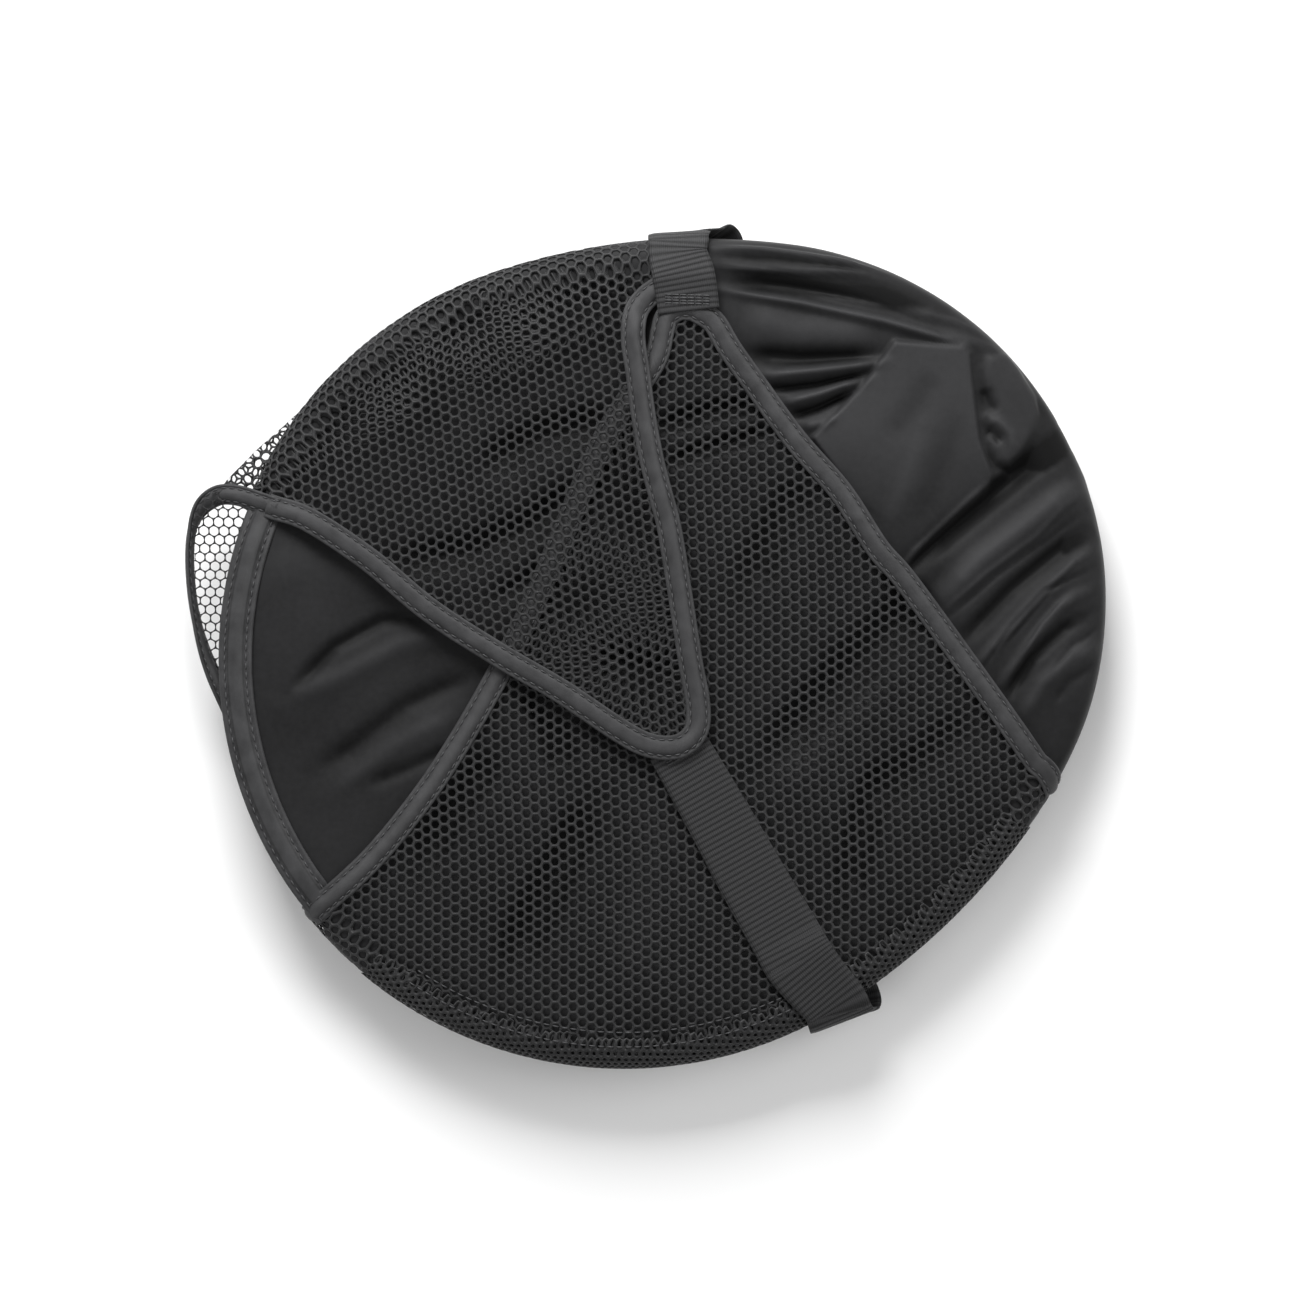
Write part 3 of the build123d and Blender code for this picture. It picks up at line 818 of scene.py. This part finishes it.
# %% Front and back cloth
def cloth_sheet(name, under, reach_past, rise_of, turns, rings, node):
    """A sheet of cloth over one side of the pack."""
    angle = np.linspace(-np.pi, np.pi, turns, endpoint=False)
    edge = rim_reach(angle) + reach_past(np.degrees(angle))
    away = np.linspace(0.004, 1, rings)[:, None] * edge
    plan = np.stack([away * np.cos(angle), away * np.sin(angle)], -1).reshape(-1, 2) + rim_centre
    close = smooth(-inset(plan), -14, 2)
    fold = rise_of(plan)
    rise = np.maximum(fold, -6.5 * (1 - smooth(-inset(plan), -22, -11)) - 0.7)
    faces = grid_quads(rings, turns, ring=True)
    # The UV map carries the fold height, which the cloth's colour turns into painted shade: darker in the
    # valleys, lighter on the ridges.
    item = piece(name, lay(plan, 1.2 + rise * (1 - 0.5 * close), under), faces[:, ::-1] if under else faces,
                 cloth, "pack", np.stack([fold, 0 * fold], 1))
    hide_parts(node)
    return item


def front_edge(angle):
    """How far past the rim the front cloth goes, by direction: wrapped, but tucked in on the left."""
    right = smooth(angle, -72, -52) * (1 - smooth(angle, 84, 100))
    left = smooth(angle % 360, 154, 160) * (1 - smooth(angle % 360, 219, 223))
    return 9 + 8 * right - 15.5 * left


front_cloth = cloth_sheet("front_cloth", False, front_edge, cloth_rise, 900, 200, "front_cloth")


def back_rise(plan):
    """Shallow folds of the back cloth."""
    slow = np.sin(plan[:, 0] / 17 + 0.8) * np.sin(plan[:, 1] / 23 + 1.1)
    long_wave = np.sin((plan[:, 0] * 0.8 - plan[:, 1]) / 9 + 1.5 * np.sin(plan[:, 0] / 40))
    return 0.35 * slow + 0.45 * long_wave - 0.2


back_cloth = cloth_sheet("back_cloth", True, lambda angle: np.full(len(angle), -6.0), back_rise, 320, 70,
                         "back_cloth")
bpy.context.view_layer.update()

# %% [markdown]
# Between the taped hoops the walls squeeze out as soft rolls. From above they can't be seen, but they
# are most of what the side of the pack shows.

# %% Folded walls
def wall_stack():
    turns, levels = 420, 64
    angle = np.linspace(-np.pi, np.pi, turns, endpoint=False)
    height = np.linspace(6.9, 26.9, levels)[:, None]
    lap = (height - 9.6) / 5.0
    between = 0.5 - 0.5 * np.cos(2 * np.pi * lap)
    crumple = (0.9 * np.sin(23 * angle + 1.7 * np.floor(lap + 0.5)) + 0.6 * np.sin(57 * angle + 2.3 * lap)
               + 0.5 * np.sin(9 * angle + 4 * lap))
    shy = smooth(height, 6.9, 8) * (1 - smooth(height, 25.8, 26.9))
    depth = 8.5 - between * (5.0 + 0.7 * crumple) * shy
    away = rim_reach(angle) - depth
    ripple = 0.35 * np.sin(31 * angle + 2 * lap) * shy
    points = np.stack([rim_centre[0] + away * np.cos(angle), rim_centre[1] + away * np.sin(angle),
                       height + ripple], -1)
    inner = points.copy()
    inner[..., :2] = rim_centre + (points[..., :2] - rim_centre) * 0.993
    count = turns * levels
    quads = grid_quads(levels, turns, ring=True)
    faces = quads.tolist() + (quads[:, ::-1] + count).tolist()
    for row, turn in ((0, -1), (levels - 1, 1)):
        line, after = row * turns + np.arange(turns), row * turns + (np.arange(turns) + 1) % turns
        faces += np.stack([line, after, after + count, line + count][::-turn], 1).tolist()
    both_sides = np.vstack([points.reshape(-1, 3), inner.reshape(-1, 3)])
    item = piece("folded_walls", both_sides, faces, cloth, "pack")
    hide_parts("folded_walls")


wall_stack()

# %% [markdown]
# Four taped hoops make the rim, one above another. Each tape bulges over its wire and wanders a
# little, as hoops do that spring apart. The top one is the ring that shows on the left of the front.

# %% Rim hoops
def rim_hoop(number):
    turns = 640
    angle = np.linspace(-np.pi, np.pi, turns + 1)
    slow, quick = np.sin(3 * angle + 1.9 * number), np.sin(7 * angle + 0.8 * number)
    wander = (0.2 * slow + 0.12 * quick) * (number != 4)
    away = rim_reach(angle) - (6.6 if number in (1, 4) else 5.9) + wander
    level = 4.6 + 5 * number + 0.25 * np.sin(5 * angle + 2.4 * number)
    centre = np.stack([rim_centre[0] + away * np.cos(angle), rim_centre[1] + away * np.sin(angle), level], 1)
    across = np.stack([np.cos(angle), np.sin(angle), 0 * angle], 1)
    section = tape_section(width=9.2, crown=2.25, edge=1.0)
    item, up = carry(f"rim_hoop_{number}", centre, -across, section, tape, "pack", ends=False)
    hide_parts(f"rim_binding_{number}")
    wire, _ = carry(f"rim_wire_{number}", centre, -across, round_section(1.0), spring_steel, "pack",
                    ends=False)
    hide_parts(f"rim_wire_{number}")
    sleeve_at = slice(40 + 90 * number, 56 + 90 * number)
    sleeve, _ = carry(f"ferrule_{number}", centre[sleeve_at], -across[sleeve_at], round_section(1.6, 16),
                      ferrule_steel, "pack")
    if number == 1:
        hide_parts("hoop_ferrules")
    return centre, across


rim_thread = []
for number in (1, 2, 3, 4):
    centre, across = rim_hoop(number)
    for offset in (-2.95, 3.2):
        height = 1.35 if number > 1 else -1.35
        rim_thread.append(stitch_points(centre, -across, -offset, height))
stitches("rim_stitches", rim_thread[-2:] + rim_thread[:2], "pack")


# %% [markdown]
# The front ring's tape lies on top of the cloth's tucked edge, from the flap's corner down to the
# fan's corner. It is the same tape, seen flat.

# %% Front ring tape
ring_angles = np.radians(np.linspace(160, 219.5, 260))
ring_dip = 1 - smooth(np.degrees(ring_angles), 160, 168) * (1 - smooth(np.degrees(ring_angles), 213, 219.5))
ring_reach = rim_reach(ring_angles) - 6.9
ring_centre = np.stack([rim_centre[0] + ring_reach * np.cos(ring_angles),
                        rim_centre[1] + ring_reach * np.sin(ring_angles),
                        29.3 - 2.2 * ring_dip + 0.2 * np.sin(7 * ring_angles)], 1)
ring_across = -np.stack([np.cos(ring_angles), np.sin(ring_angles), 0 * ring_angles], 1)
ring_section = tape_section(12.8, 2.1, 0.7)
ring_tape, _ = carry("front_ring_tape", ring_centre, ring_across, ring_section, tape, "pack")
ring_rows = [stitch_points(ring_centre, ring_across, offset, 1.05) for offset in (-4.1, 4.1)]
stitches("front_ring_stitches", ring_rows, "pack")

# %% [markdown]
# The front fan: its net, the doubled hem at the rim, and the binding that runs up one side, over a
# small arch at the top and down the other side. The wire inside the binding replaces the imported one,
# since the tape's line here is the softer of the two.

# %% Front fan
def fan_lift(plan):
    """The fan hugs the rim at its low edge and stands on the folded cloth elsewhere."""
    return 1.0 + 3.0 * smooth(inset(plan), -2, 24)


def net_piece(name, plan, height, lift, faces, body, under=False):
    item = piece(name, lay(plan, lift + height, under), faces, net, body)
    return item


plan, height, faces = knit(fan_outline, phase=0.4, turn=np.pi / 2 + 0.02)
front_net = net_piece("front_net", plan, height, fan_lift(plan), faces, "pack")
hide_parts("front_net")
declare_net(front_net, fan_outline, (290, 290))

hem_outline = np.vstack([rim_line(-132, -27, -17, 90), rim_line(-27, -132, 10.4, 90)])
plan, height, faces = knit(hem_outline, pitch=2.7, hole=0.66, thick=0.5, phase=2.1, warp=0.3)
front_hem = net_piece("front_hem", plan, height, fan_lift(plan) + 0.7, faces, "pack")
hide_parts("front_hem")
declare_net(front_hem, hem_outline, (28, 300), 2.7, 0.66)
hem_line = rim_line(-127, -66, 9.0, 300)
hem_centre, hem_across = laid_stations(even_line(hem_line, 1.0), fan_lift(even_line(hem_line, 1.0)))
stitches("hem_stitches", [stitch_points(hem_centre, hem_across, offset, 1.15) for offset in (0, 5.6)], "pack")

fan_arch = [(8.2, 126.5), (12.5, 129.6), (17.5, 129.8)]
fan_tape_line = smooth_line(fan_left[::-1][1:-1] + fan_arch + fan_right[:-1], 1.1)
fan_height = fan_lift(fan_tape_line) + 0.3
centre, across = laid_stations(fan_tape_line, fan_height)
front_binding, _ = carry("front_binding", centre, across, tape_section(), tape, "pack")
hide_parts("front_binding")
front_wire, _ = carry("front_wire", centre, across, round_section(0.9), spring_steel, "pack")
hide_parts("front_wire")
front_rows = [stitch_points(centre, across, offset, 0.72) for offset in (-2.95, 2.95)]
stitches("front_binding_stitches", front_rows, "pack")
print("fan tape", len(fan_tape_line), "stations")

# %% [markdown]
# The flap is one net that covers the top left of the pack and hangs from the rim. A second layer of
# net lies between the fold line and the rim, turned a little, and the two together make the shimmer
# of crossed threads.

# %% Flap
def flap_lift(plan):
    """The flap rides above the fan and comes down to the rim behind its fold line and under the strap."""
    pressed = smooth(plan[:, 0], -12, 3) * smooth(plan[:, 1], 122, 136)
    return 1.3 + 6.3 * smooth(inset(plan), 0, 34) * (1 - 0.7 * pressed)


def bend_at_fold(item):
    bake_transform(item)


plan, height, faces = knit(flap_outline, phase=1.7, turn=np.pi / 2 + 0.12)
flap_net = net_piece("flap_net", plan, height, flap_lift(plan), faces, None)
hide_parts("flap_net")
bend_at_fold(flap_net)
declare_net(flap_net, flap_outline, (180, 185))

root_outline = np.vstack([fold_start + fold_out * -3, fold_end + fold_out * -3 + [-3, 0],
                          rim_line(angle_of((-2, 160)), angle_of((-165, 60)), -15, 80)])
plan, height, faces = knit(root_outline, phase=0.2, turn=np.pi / 2 + 0.05, warp=0.8)
root_net = net_piece("flap_root_net", plan, height, flap_lift(plan) - 1.1, faces, "pack")
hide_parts("flap_root_net")
declare_net(root_net, root_outline, (180, 62))

centre, across = laid_stations(flap_line, flap_lift(flap_line) + 0.3)
flap_binding, _ = carry("flap_binding", centre, across, tape_section(9.4, 1.7, 0.6), tape, None)
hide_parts("flap_binding", "flap_root_binding")
bend_at_fold(flap_binding)
flap_wire, _ = carry("flap_wire", centre, across, round_section(0.9), spring_steel, None)
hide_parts("flap_wire", "flap_root_wire")
bend_at_fold(flap_wire)
flap_rows = [stitch_points(centre, across, offset, 0.85) for offset in (-3.0, 3.0)]
flap_stitches = stitches("flap_stitches", flap_rows, None)
bend_at_fold(flap_stitches)

# %% [markdown]
# At the flap's corner its wire goes on as a loop beside the rim. There the tape turns from lying flat
# to standing on its edge, and a fine net fills the gap to the rim.

# %% Side loop
loop_start = lay(flap_line[-3:], flap_lift(flap_line[-3:]) + 0.3)
loop_knots = [tuple(loop_start[0]), (-149, 56.2, loop_start[0][2] - 1.6),
              (-157, 58.6, 27.2), (-164.4, 58.4, 24),
              (-170.6, 53.8, 21.2), (-174.4, 45.5, 19.8), (-175.4, 33.5, 19.2), (-174.2, 18, 18.9),
              (-171, 3, 18.8), (-167, -8.5, 18.8), (-161.5, -20, 18.8), (-156, -31, 18.8)]
loop_centre = smooth_line(loop_knots, 1.1)
run = np.linspace(0, 1, len(loop_centre))
lean = np.radians(8 + 72 * smooth(run, 0.17, 0.38) - 46 * smooth(run, 0.55, 0.98))
loop_side = left_of(loop_centre[:, :2])
loop_across = np.stack([loop_side[:, 0] * np.cos(lean), loop_side[:, 1] * np.cos(lean), -np.sin(lean)], 1)


def bend_at_loop(item):
    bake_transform(item)


loop_section = tape_section(8.0, 1.7, 0.6)
loop_binding, _ = carry("side_loop_binding", loop_centre, loop_across, loop_section, tape, None)
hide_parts("side_loop_binding")
bend_at_loop(loop_binding)
loop_wire, _ = carry("side_loop_wire", loop_centre, loop_across, round_section(0.9), spring_steel, None)
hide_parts("side_loop_wire")
bend_at_loop(loop_wire)
loop_rows = [stitch_points(loop_centre, loop_across, offset, 0.85) for offset in (-2.55, 2.55)]
loop_thread = stitches("side_loop_stitches", loop_rows, None)
bend_at_loop(loop_thread)

web_rim = rim_line(360 + angle_of((-158, -30)), angle_of((-140, 54)), 7, 40)
web_outline = np.vstack([loop_centre[8:-6, :2], web_rim])
plan, height, faces = knit(web_outline, pitch=3.9, hole=1.74, thick=0.36, warp=0.25, phase=0.9)
sag = 19.2 + 1.2 * np.sin(plan[:, 1] / 14) + 8.5 * smooth(plan[:, 1], 34, 58)
web_net = piece("side_loop_net", np.column_stack([plan, sag + height]), faces, net, None)
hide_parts("side_loop_net")
bend_at_loop(web_net)
declare_net(web_net, web_outline, (28, 95), 3.9, 1.74)
print("loop", len(loop_centre), "stations, web", round(net_area(web_outline) / 100, 1), "cm2")

# %% [markdown]
# Above the loop the trap's net runs straight from the top left of the rim to the loop's shoulder. It
# is folded double there and daylight shows through both layers.

# %% Folded net above the loop
fold_edge = np.array([(-77, 133), (-91, 122.2), (-110.5, 107.6), (-133, 91.2), (-150, 75.6),
                      (-161, 64), (-166, 58)])
fold_away = np.array([-0.65, 0.76])
fold_outline = np.vstack([fold_edge + 2.4 * fold_away, [(-150, 56)],
                          rim_line(angle_of((-141, 57)), angle_of((-77, 133)), 2.0, 40)])


def up_to_fold(plan):
    """Points past the fold line are brought back onto it, so that the net ends in a clean fold."""
    past = (plan[:, 1] - np.interp(plan[:, 0], fold_edge[::-1, 0], fold_edge[::-1, 1])) * fold_away[1]
    return plan - np.maximum(past, 0)[:, None] * fold_away


fold_points, fold_faces = [], []
for turn, phase, drop in ((0.55, 0.3, 0.0), (0.95, 1.9, -1.3)):
    plan, height, faces = knit(fold_outline, turn=turn, pitch=3.9, hole=1.6, thick=0.36, warp=0.3,
                               phase=phase)
    plan = up_to_fold(plan)
    start = sum(len(points) for points in fold_points)
    fold_faces += [[corner + start for corner in face] for face in faces]
    level = 19 + 7 * (1 - smooth(plan[:, 1], 60, 92)) + drop
    fold_points.append(np.column_stack([plan, level + height]))
folded_net = piece("side_web_net", np.vstack(fold_points), fold_faces, net, None)
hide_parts("side_web_net")
bend_at_loop(folded_net)
declare_net(folded_net, fold_outline, (118, 18), 3.9, 1.6, 2)

# %% [markdown]
# The back mirrors the front: a net panel and its binding lie on the back cloth.

# %% Back
back_left = [(-x, y) for x, y in fan_left]
back_right = [(-x, y) for x, y in fan_right]
back_left_line, back_right_line = smooth_line(back_left, 1.4), smooth_line(back_right, 1.4)


def within_rim(line, margin):
    return line[inset(line) > margin]


back_left_line, back_right_line = within_rim(back_left_line, 3), within_rim(back_right_line, 3)
back_ends = [angle_of(back_left_line[-1]) % 360, angle_of(back_right_line[-1]) % 360]
back_low = rim_line(max(back_ends), min(back_ends), 2.5, 90)
back_outline = np.vstack([back_left_line, back_low, back_right_line[::-1]])
plan, height, faces = knit(back_outline, phase=2.9, turn=np.pi / 2)
back_net = net_piece("back_net", plan, height, 2.2 + 0 * height, faces, "pack", under=True)
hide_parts("back_net")
declare_net(back_net, back_outline, (270, 270))
back_hem_outline = np.vstack([back_low, rim_line(min(back_ends), max(back_ends), 11.5, 90)])
plan, height, faces = knit(back_hem_outline, phase=1.1, turn=0.3, warp=0.3)
back_hem = net_piece("back_hem", plan, height, 2.9 + 0 * height, faces, "pack", under=True)
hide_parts("back_hem")
back_knots = back_left_line[::-12].tolist() + [(-13.5, 129.8)] + back_right_line[::12].tolist()
back_tape_line = smooth_line(back_knots, 1.2)
centre, across = laid_stations(back_tape_line, 2.3, under=True)
back_binding, _ = carry("back_binding", centre, across, tape_section(9.2, 1.4, 0.5), tape, "pack")
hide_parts("back_binding")
back_wire, _ = carry("back_wire", centre, across, round_section(0.85), spring_steel, "pack")
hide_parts("back_wire")
back_rows = [stitch_points(centre, across, offset, 0.65) for offset in (-2.95, 2.95)]
stitches("back_binding_stitches", back_rows, "pack")

# %% [markdown]
# The elastic goes once round the pack. It lies on the front above the fan's arch, turns over the rim,
# crosses the back, comes up over the rim at the lower right and ends at the flap's corner. Its two
# edges are drawn, and the band is what lies between them. Fine ribs cross it.

# %% Elastic strap
def over_rim(point, drift, turns, lift, way=1, loose=0.0):
    """Points that go round the rim beside a point of the plan; turns run from 0 (top) to pi (back).
    The line drifts along the rim as it goes round, since the strap leaves at a slant on the back.
    A loose edge stands farther out from the rim at the turn."""
    moved = np.asarray(point, float) + smooth(turns, 1.3, 2.5)[:, None] * np.asarray(drift)
    away = moved - rim_centre
    away /= np.linalg.norm(away, axis=1)[:, None]
    reach = rim_reach(np.arctan2(away[:, 1], away[:, 0])) - rim_round
    out = reach + (rim_round + lift) * squared(np.sin(turns)) + loose * np.sin(turns)
    level = rim_level + (rim_round + lift) * squared(np.cos(turns))
    spots = rim_centre + away * out[:, None]
    return [tuple(spot) for spot in np.column_stack([spots, level])][::way]


def on_back(points, lift):
    """Points on the back, with seven more between each two."""
    marks = np.linspace(0, len(points) - 1, 8 * (len(points) - 1) + 1)
    points = np.array(points, float)
    plan = np.stack([np.interp(marks, np.arange(len(points)), points[:, k]) for k in (0, 1)], 1)
    return [tuple(spot) for spot in lay(plan, lift, under=True)]


def on_front(points, level):
    return [(x, y, level) for x, y in points]


def band(name, left, right, body, thickness=1.2, rib=0.28, pitch=2.1, step=0.34, columns=15):
    """A ribbed elastic between two edges that have the same knots in the same order."""
    both = even_line(curve_through(np.hstack([left, right]), 24), step)
    left_edge, right_edge = both[:, :3], both[:, 3:]
    across = right_edge - left_edge
    width = np.linalg.norm(across, axis=1)
    centre = (left_edge + right_edge) / 2
    run = np.append(0, np.cumsum(np.linalg.norm(np.diff(centre, axis=0), axis=1)))
    ribs = rib * np.abs(np.sin(np.pi * run / pitch)) ** 0.7
    u = np.linspace(-0.5, 0.5, columns)
    edge_fall = 1 - 0.55 * (np.abs(u) * 2) ** 10
    half = (thickness / 2 - 0.1 + ribs[:, None]) * edge_fall
    top = np.stack([-u * width[:, None], half], -1)
    bottom = np.stack([-u[::-1] * width[:, None], -half[:, ::-1]], -1)
    item, _ = carry(name, centre, -across, np.concatenate([top, bottom], 1), elastic, body)
    return item


turns_down = np.linspace(0.25, np.pi - 0.25, 7)
strap_lift = 3.4
top_left, top_right = (1.1, 159), (24.5, 159)
low_left, low_right = (63.2, -147), (87.5, -138.5)
turns_ahead = np.linspace(0.6, np.pi - 0.25, 7)
left_edge = (on_front([(4.8, 128.6), (3.9, 136), (2.6, 143)], 32.9)
             + over_rim(top_left, (12, 0), turns_down, strap_lift)
             + on_back([(13, 142), (21, 75), (34, 5), (50, -70), (63, -121)], strap_lift)
             + over_rim(low_left, (5, 3), turns_down, 3.6, -1, 1.5)
             + on_front([(47.2, -126), (41.4, -116)], 32.6))
right_edge = (on_front([(28.4, 128.9), (27.6, 136), (26.4, 143)], 32.9)
              + over_rim(top_right, (14, -1), turns_down, strap_lift + 0.6)
              + on_back([(37.5, 141), (45.5, 78), (57, 8), (73, -66), (87, -113)], strap_lift)
              + over_rim(low_right, (5, 4), turns_ahead, 3.6, -1, 6.0)
              + on_front([(72.4, -116), (66.3, -105.5)], 32.6))
elastic_strap = band("elastic_strap", left_edge, right_edge, "pack")
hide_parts("elastic_strap")
run_left = on_front([(47.2, -126), (41.4, -116), (27.6, -91), (14, -65), (1.6, -42.5)], 32.6)
run_right = on_front([(72.4, -116), (66.3, -105.5), (50.8, -79.5), (35.8, -54), (22.2, -31.5)], 32.6)
strap_run = band("strap_front_run", run_left, run_right, None)
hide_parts("strap_front_run")
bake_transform(strap_run)
print("strap", len(elastic_strap.data.polygons), "faces")

# %% [markdown]
# Two tacks finish the sewing: a bar of close stitches holds the strap's top end at the fan's arch, and
# another holds the flap's corner to the strap's other end.

# %% Tacks
def tack(name, centre, run, width, length, level, body):
    """Close zigzag stitches over a small rectangle."""
    run = np.array(run, float) / np.hypot(*run)
    side = np.array([-run[1], run[0]])
    rows = []
    for offset in np.arange(-length / 2, length / 2 + 0.01, 1.1):
        ends = [np.array(centre) + run * offset - side * width / 2,
                np.array(centre) + run * (offset + 0.5) + side * width / 2]
        line = even_line(np.array([[*ends[0], level], [*ends[1], level]]), 0.9)
        across_line = np.tile([*run, 0.0], (len(line), 1))
        rows.append(stitch_points(line, across_line, 0.0, 0.0, pitch=2.9, length=2.5))
    item = stitches(name, rows, body)
    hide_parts(name)


tack("strap_end_tack", (16.5, 133.0), (0, 1), 18, 3.4, 33.75, "pack")
tack("flap_corner_tack", (13.4, -40.0), (0.53, -0.85), 15, 3.4, 33.5, "front_flap")

# %% Sizes and finish
seen_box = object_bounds()
for word, box in (("packed", cad_box), ("shown", seen_box)):
    print(word, [round(value / MM, 1) for corner in box for value in corner])
